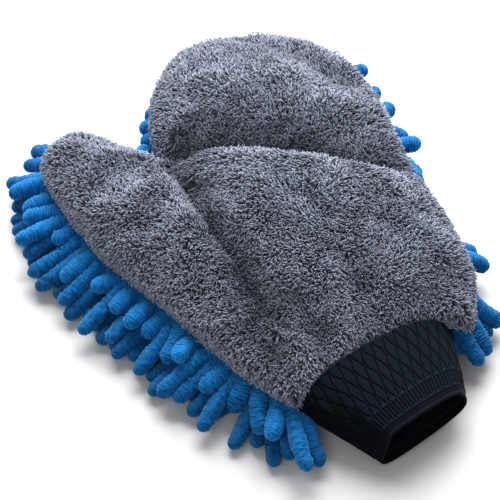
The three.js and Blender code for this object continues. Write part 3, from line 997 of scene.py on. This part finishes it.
def settle_fingers(roots, layer, rng):
    """Lets the fingers hang, bend and crowd each other until they lie side by side on the floor."""
    aim, reach, length = finger_aims(roots, layer, rng)
    count = len(roots)
    link = length[:, None] / SEGMENTS
    t = np.arange(SEGMENTS + 1)[None, :, None]
    curl = rng.normal(0, 0.1, (count, 1, 3)) * (t / SEGMENTS) ** 2
    sag = np.where(layer == 0, 0.2, 1.0)[:, None] * SAG
    anchor = np.column_stack([roots, np.full(count, ROOT_Z)])
    chain = anchor[:, None] + aim[:, None] * t * link[:, None]
    finger = np.repeat(np.arange(count), SEGMENTS + 1)
    limit = np.repeat(reach, SEGMENTS)
    for step in range(SETTLE_STEPS):
        chain[:, 1:, 2] -= sag
        chain += curl
        nodes = chain.reshape(-1, 3)
        if step % PAIR_STEPS == 0:
            pairs = close_pairs(nodes, finger, PAIR_REACH)
        push_apart(nodes, pairs, 2 * FINGER_RADIUS - 0.2)
        chain = nodes.reshape(count, SEGMENTS + 1, 3)
        free = chain[:, 1:].reshape(-1, 3)
        keep_clear(free, limit)
        chain[:, 1:] = free.reshape(count, SEGMENTS, 3)
        chain[:, 1] += (anchor + aim * link - chain[:, 1]) * ROOT_HOLD
        hold_links(chain, anchor, link)
    chain[:, 1:, 2] = np.maximum(chain[:, 1:, 2], FINGER_RADIUS + 2 * GRAIN_DEPTH)
    return chain


def finger_mesh(chain, girth_share, rings, sides, rng):
    """Rings of one finger round the smoothed line of its chain: points, colour values from its ridge heights
    with painted shade, quads, tris.
    """
    dense = spline(chain, 1.0)
    length = norms(np.diff(dense, axis=0)).sum()
    at = np.linspace(0, len(dense) - 1, rings)
    line = np.stack([np.interp(at, np.arange(len(dense)), dense[:, k]) for k in range(3)], 1)
    forward = unit(np.gradient(line, axis=0))
    side = unit(np.cross(forward, [0.31, 0.9, 0.3]))
    up = np.cross(forward, side)
    s = np.linspace(0, length, rings)[:, None]
    angle = np.linspace(0, 2 * math.pi, sides, endpoint=False)[None]

    # The pile's ridges wind round the finger, sway, and fade in patches; the grain is its loose ends.
    phase = rng.uniform(0, 2 * math.pi, 8)
    sway = 1.2 * np.sin(angle + phase[0] + 0.11 * s) + 0.9 * np.sin(2 * angle + phase[1] - 0.23 * s)
    sway = sway + 0.8 * np.sin(3 * angle + phase[2] + 0.4 * s) + 0.7 * np.sin(6 * angle + phase[6] - 0.9 * s)
    ridge = np.sin(2 * math.pi * s / RIDGE_PITCH + sway + phase[3])
    patch = 0.5 + 0.5 * np.sin(1.4 * s + 4 * angle + phase[4]) * np.sin(1.1 * s - 5 * angle + phase[5])
    grain = rng.normal(0, 1, (rings, sides))
    grain = (grain + np.roll(grain, 1, 1) + np.roll(grain, 1, 0)) / 1.7

    end = np.clip((length - s) / TIP_ROUND, 0, 1)
    girth = np.sqrt(np.maximum(1 - (1 - end) ** 2, 0)) * (0.9 + 0.1 * smooth(s / 6))
    girth = girth * (1.03 - 0.12 * s / length)
    girth = girth * (1 + 0.045 * np.sin(0.35 * s + phase[0]))
    relief = RIDGE_DEPTH * ridge * (0.2 + 1.1 * patch) + GRAIN_DEPTH * grain
    radius = (FINGER_RADIUS * girth_share * girth + relief * smooth(end * 3))[..., None]
    round_line = side[:, None] * np.cos(angle)[..., None] + up[:, None] * np.sin(angle)[..., None]
    skin = line[:, None] + radius * round_line
    # Colour value from the ridges, patches and grain: darker grooves as painted shade, lighter ridges as
    # painted highlight,
    height = np.clip(0.6 + 0.34 * ridge * (0.2 + 0.8 * patch) + 0.16 * grain, 0, 1)
    # then painted shade that darkens the fingers towards the floor.
    height = height * (0.38 + 0.62 * smooth((line[:, 2:] - 4) / 22))

    # A point closes each end; the root's gets a darker colour value, as painted shade.
    points = np.vstack([skin.reshape(-1, 3), line[:1], line[-1:] + forward[-1:] * 0.15])
    height = np.append(height.ravel(), [0.3, 0.7])
    i = np.arange(sides)
    j = (i + 1) % sides
    last = (rings - 1) * sides
    root, tip = (np.full(sides, rings * sides + k) for k in range(2))
    tris = np.vstack([np.stack([j, i, root], 1), np.stack([i + last, j + last, tip], 1)])
    return points, height, ring_quads(rings, sides), tris


def stretch_of(p):
    """Which stretch of the frame each plan point lies on."""
    return np.where(on_thumb(p), "thumb", np.where(past_knuckles(p) > 0, "fingers", "hand"))


def row_node(stretch, y):
    """The frame's row node nearest to a finger's root on its stretch."""
    def gap(name):
        low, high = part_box(name)
        return abs((low.y + high.y) / 2 * 1000 + CENTRE[1] - y)

    rows = [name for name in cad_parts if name.startswith(f"chenille_row_{stretch}_")]
    return min(rows, key=gap)


def rooted_on(roots, stretch):
    """The body that each finger rides: its root's own, or the hand on the near half of a bend."""
    past_fold = np.select(
        [stretch == "fingers", stretch == "thumb"],
        [past_knuckles(roots) > sum(KNUCKLE_BEND) / 2, roots[:, 0] < sum(THUMB_BEND) / 2],
        False,
    )
    return np.where(past_fold, stretch, "hand")


def join_meshes(meshes):
    """The points, values, quads and tris of several meshes as those of one."""
    start = 0
    joined = []
    for points, height, quads, tris in meshes:
        joined.append((points, height, quads + start, tris + start))
        start += len(points)
    return (np.concatenate(column) for column in zip(*joined))


def build_chenille():
    """One piece for each row of the frame and each body that its fingers ride."""
    rng = np.random.default_rng(31)
    roots, layer = finger_roots(rng)
    chains = settle_fingers(roots, layer, rng)
    stretch = stretch_of(roots)
    body = rooted_on(roots, stretch)
    groups = {}
    for i in range(len(roots)):
        groups.setdefault((row_node(stretch[i], roots[i, 1]), str(body[i])), []).append(i)
    rows = [node for node, _ in groups]
    for (node, rides), members in sorted(groups.items()):
        meshes = []
        for i in members:
            rings, sides = FINE_MESH if layer[i] < len(RIM_INSETS) else COARSE_MESH
            girth_share = TOP_GIRTH if layer[i] == 0 else 1.0
            meshes.append(finger_mesh(chains[i], girth_share, rings, sides, rng))
        points, height, quads, tris = join_meshes(meshes)
        near_fold = f"_{rides}_" not in node
        name = node.replace("row", "yarn") + ("_near_fold" if near_fold else "")
        piece = add_mesh(name, points, quads, tris, CHENILLE, ridge=height)
        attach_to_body(piece, rides)
        if not near_fold or rows.count(node) == 1:
            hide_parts(node)


build_chenille()

# ---- the knit cuff

# The cuff's two ends, as closed curves that start at the right and run over the top to the left.
CUFF_ROOT = [
    (87, -80, 31), (72, -79, 40), (42, -85, 43), (14, -93, 40), (0, -99, 33), (-3, -100, 29),
    (-4, -100, 19), (42, -93, 19.5), (84, -84, 21),
]
CUFF_MOUTH = [
    (83, -121, 21), (76, -122, 28), (56, -128.5, 30.5), (38, -134, 28.5), (33.5, -136, 26),
    (32.5, -136.5, 21), (30.5, -138, 4), (57, -131, 6), (82, -123, 12),
]
CUFF_RINGS = 146
CUFF_SIDES = 496
CUFF_WALL = 1.6
CUFF_SWELL = 0.035
TURNED_IN = 50  # rings of the wall that turn in at the mouth
LINING_END = 54  # the ring of 60 where the lining stops
CELL_COUNT = 58  # the lattice's lines round the cuff
CELL_LENGTH = 17
COURSE_PITCH = 1.25
BAND_FROM = 14.5  # the rib band, from the mouth
BAND_TO = 5.5
RIB_COUNT = 78


def ring_points(control, count):
    """Points spread evenly round a smooth closed curve."""
    ring = spline(control, 0.5, closed=True)
    return spaced(ring, norms(np.diff(ring, axis=0)).sum() / count)[:count]


def cuff_surface(inset, rings=CUFF_RINGS, sides=CUFF_SIDES):
    """The cuff's wall, rings by sides: its points, their normals and their distances from the mouth."""
    root, mouth = ring_points(CUFF_ROOT, sides), ring_points(CUFF_MOUTH, sides)
    t = np.linspace(0, 1, rings)[:, None, None]
    wall = root * (1 - t) + mouth * t
    middle = wall.mean(1, keepdims=True)
    wall = middle + (wall - middle) * (1 + CUFF_SWELL * np.sin(math.pi * t))
    around = np.roll(wall, -1, 1) - np.roll(wall, 1, 1)
    down = np.gradient(wall, axis=0)
    normal = unit(np.cross(around, down))
    if ((wall - middle) * normal).sum() < 0:
        normal = -normal
    length = norms(down).cumsum(0)
    return wall - normal * inset, normal, length[-1:] - length


def knit_relief(from_mouth, u):
    """Height of the knit over its wall, and a share from 0 in the grooves to 1 on the ridges."""
    phase = 2 * math.pi * from_mouth / CELL_LENGTH
    place = u * CELL_COUNT
    groove = np.full(u.shape, 9.0)
    for k in range(-1, CELL_COUNT + 2):
        line = k + 0.31 * np.sin(phase + math.pi * (k % 2)) + 0.06 * np.sin(phase * 2.7 + k)
        groove = np.minimum(groove, abs(place - line))
    cut = np.exp(-((groove / 0.13) ** 2))
    course = 0.5 + 0.5 * np.sin(2 * math.pi * from_mouth / COURSE_PITCH + 0.35 * np.sin(u * 2 * math.pi * 17))
    lattice = 0.55 + 0.3 * course - 0.75 * cut
    rib = 0.5 + 0.5 * np.sin(u * 2 * math.pi * RIB_COUNT)
    in_band = smooth((BAND_FROM - from_mouth) / 0.8) * smooth((from_mouth - BAND_TO) / 0.8)
    hem = smooth((BAND_TO - from_mouth) / 0.8)
    cord = sum(np.exp(-(((from_mouth - at) / 0.55) ** 2)) for at in (BAND_FROM, BAND_TO, 0.9))
    plain = 0.42 + 0.1 * course
    share = lattice * (1 - in_band) * (1 - hem) + (0.15 + 0.65 * rib) * in_band + plain * hem
    share = np.clip(share + 0.35 * cord, 0, 1.15)
    return 0.75 * share, np.clip(share, 0, 1)


def build_knit_tube():
    """The outer knit with its relief, over the lip and back inside; returns its length from the mouth."""
    wall, normal, from_mouth = cuff_surface(0)
    u = np.linspace(0, 1, CUFF_SIDES, endpoint=False)[None]
    height, share = knit_relief(from_mouth, np.broadcast_to(u, from_mouth.shape))
    outer = wall + normal * (height - 0.6)[..., None]
    lip = wall[-1:] + (wall[-1:] - wall[-4:-3]) * 0.5 - normal[-1:] * CUFF_WALL / 2
    inner = (wall - normal * CUFF_WALL)[::-1][:TURNED_IN]
    # Painted shade: the knit is darker where its wall faces down, and half as bright inside the mouth.
    share = share * (0.3 + 0.7 * smooth((normal[..., 2] - 0.15) / 0.7))
    relief = np.concatenate([share, share[-1:], share[::-1][:TURNED_IN] * 0.5], 0)
    points, quads = tube_mesh(np.concatenate([outer, lip, inner], 0))
    piece = add_mesh("cuff_knit", points, quads, [], KNIT, relief=relief.ravel())
    attach(piece, points, "cuff", ["cuff_outer"])
    return piece, float(from_mouth[0].mean()) / 1000


def build_knit_lining():
    """The inner knit, which ends before the mouth."""
    wall, normal, _ = cuff_surface(CUFF_WALL + 0.8, rings=60, sides=200)
    skin = np.concatenate([wall[:LINING_END], (wall - normal)[:LINING_END][::-1]], 0)
    points, quads = tube_mesh(skin, closed=True)
    relief = 0.35 + 0.2 * np.sin(np.arange(len(points)))
    piece = add_mesh("cuff_lining_knit", points, quads, [], KNIT, relief=relief)
    attach(piece, points, "cuff", ["cuff_inner"])
    return piece


def build_cuff():
    """The knit cuff, its lining and the seam at its root."""
    knit, long = build_knit_tube()
    lining = build_knit_lining()
    seam = cuff_surface(CUFF_WALL, rings=60, sides=240)[0][:3].mean(0)
    add_thread("cuff_seam_thread", seam, CUFF_SEAM_RADIUS, True, "cuff", ["cuff_seam"])


build_cuff()

# ---- hidden cloths


HIDDEN_STEP = 7


def thin_sheet(name, loop_inset, height, thick, material, side, nodes):
    """A thin closed sheet over one side of the mitt, its underside at a height given by the place."""
    plan, triangles = plan_mesh(inset_loop(outline, loop_inset)[::2], HIDDEN_STEP)
    mine = thumb_side(plan, triangles)
    used, tris = used_only(triangles[mine if side == "thumb" else ~mine])
    plan = plan[used]
    low = np.column_stack([plan, height(plan)])
    points = np.vstack([low, low + [0, 0, thick]])
    count = len(plan)
    edges = np.vstack([tris[:, [0, 1]], tris[:, [1, 2]], tris[:, [2, 0]]])
    known = {tuple(edge) for edge in edges}
    rim = np.array([edge for edge in edges if (edge[1], edge[0]) not in known])
    wall = np.column_stack([rim[:, 1], rim[:, 1] + count, rim[:, 0] + count, rim[:, 0]])
    piece = add_mesh(name, points, wall, np.vstack([tris[:, ::-1], tris + count]), material)
    attach(piece, points, side, nodes)
    declare_sheet(low, tris)


def level(z):
    """A height that is the same everywhere."""
    return lambda p: np.full(len(p), z)


# For each hidden cloth: inset from the mitt's edge, height, thickness, material and slot.
HIDDEN_CLOTHS = {
    "chenille_base": (SEAM_INSET, level(BASE_Z - 0.8), 1.4, BASE_CLOTH, "chenille_cloth"),
    "palm_lining": (SEAM_INSET + 3.5, level(BASE_Z + 1.1), 0.8, LINING, "lining"),
    "back_lining": (SEAM_INSET + 3.5, lambda p: back_height(p) - 4.5, 0.8, LINING, "lining"),
}


def build_hidden():
    """What is out of sight, and the two loose threads at the fingertips."""
    for name, side, stretches in (("hand", "fingers", ["hand", "fingers"]), ("thumb", "thumb", ["thumb"])):
        for node, (inset, height, thick, material, slot) in HIDDEN_CLOTHS.items():
            nodes = [f"{node}_{stretch}" for stretch in stretches]
            label = f"{node.replace('_base', '')}_cloth_{name}"
            thin_sheet(label, inset, height, thick, material, side, nodes)
    build_edge_seam()
    build_loose_loops()


LOOSE_LOOPS = [(56, 162), (98, 131)]
LOOP_Z = 32


def build_loose_loops():
    """Two small loops of chenille thread that stand out past the fingertips."""
    for k, (x, y) in enumerate(LOOSE_LOOPS):
        angle = np.linspace(-0.35, math.pi + 0.35, 24)
        _, outward = nearest(closed_outline, np.array([[x, y]], float))
        out = 3.2 * np.sin(angle)[:, None] * outward
        across = 2.6 * np.cos(angle)[:, None] * np.column_stack([-outward[:, 1], outward[:, 0]])
        line = np.column_stack([np.array([x, y]) + out + across, LOOP_Z + 1.5 * np.sin(angle)])
        points, quads = rope(line, 0.35, False)
        piece = add_mesh(
            f"loose_thread_{k + 1}", points, quads, [], CHENILLE, ridge=np.full(len(points), 0.9),
        )
        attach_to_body(piece, "fingers")


# The edge seam in its runs from the right corner: name, the side it bends with, and the nodes it replaces.
EDGE_THREADS = [
    ("hand", "fingers", ["edge_seam_hand_right", "edge_seam_fingers"]),
    ("thumb", "thumb", ["edge_seam_thumb"]),
    ("wrist", "fingers", ["edge_seam_hand_left"]),
]


def build_edge_seam():
    """The overlocked seam round the edge, in runs split where it crosses onto the thumb and back."""
    ring = inset_loop(spline(EDGE, 2), SEAM_INSET)[1:-1]
    at_thumb = on_thumb(ring)
    change = np.where(at_thumb[1:] != at_thumb[:-1])[0] + 1
    for run, (name, side, nodes) in zip(np.split(ring, change), EDGE_THREADS):
        line = np.column_stack([run, np.full(len(run), SEAM_Z)])
        add_thread(f"edge_thread_{name}", line, EDGE_SEAM_RADIUS, False, side, nodes)


build_hidden()

# ---- floor, light and camera

VIEW_AZIMUTH = math.radians(-18)
VIEW_ELEVATION = math.radians(52)
VIEW_DISTANCE = 1.0
VIEW_TARGET = Vector((0.0011, -0.01124, 0.035))
LENS = 127.4


def build_stage():
    bpy.ops.mesh.primitive_plane_add(size=8)
    floor = bpy.context.object
    floor.name = "floor"
    floor.data.materials.append(Nodes("floor", Roughness=0.9, Base_Color=(0.72, 0.72, 0.72, 1)).material)


def add_area(name, place, size, energy):
    data = bpy.data.lights.new(name, "AREA")
    data.size = size
    data.energy = energy
    lamp = bpy.data.objects.new(name, data)
    lamp.location = place
    lamp.rotation_euler = (VIEW_TARGET - Vector(place)).to_track_quat("-Z", "Y").to_euler()
    bpy.context.scene.collection.objects.link(lamp)


def build_light():
    world = bpy.data.worlds.new("studio")
    world.use_nodes = True
    sky = world.node_tree.nodes["Background"]
    sky.inputs["Color"].default_value = (1, 1, 1, 1)
    sky.inputs["Strength"].default_value = 0.29
    bpy.context.scene.world = world
    add_area("overhead", (0.36, 1.1, 1.05), 1.5, 80.0)
    add_area("fill", (-0.7, -0.9, 1.2), 0.9, 4.2)


def build_camera():
    data = bpy.data.cameras.new("camera")
    data.lens = LENS
    data.sensor_width = 36
    camera = bpy.data.objects.new("camera", data)
    back = Vector((
        math.sin(VIEW_AZIMUTH) * math.cos(VIEW_ELEVATION),
        -math.cos(VIEW_AZIMUTH) * math.cos(VIEW_ELEVATION),
        math.sin(VIEW_ELEVATION),
    ))
    camera.location = VIEW_TARGET + back * VIEW_DISTANCE
    camera.rotation_euler = back.to_track_quat("Z", "Y").to_euler()
    bpy.context.scene.collection.objects.link(camera)
    bpy.context.scene.camera = camera


build_stage()
build_light()
build_camera()
bpy.context.scene.view_settings.view_transform = "Standard"
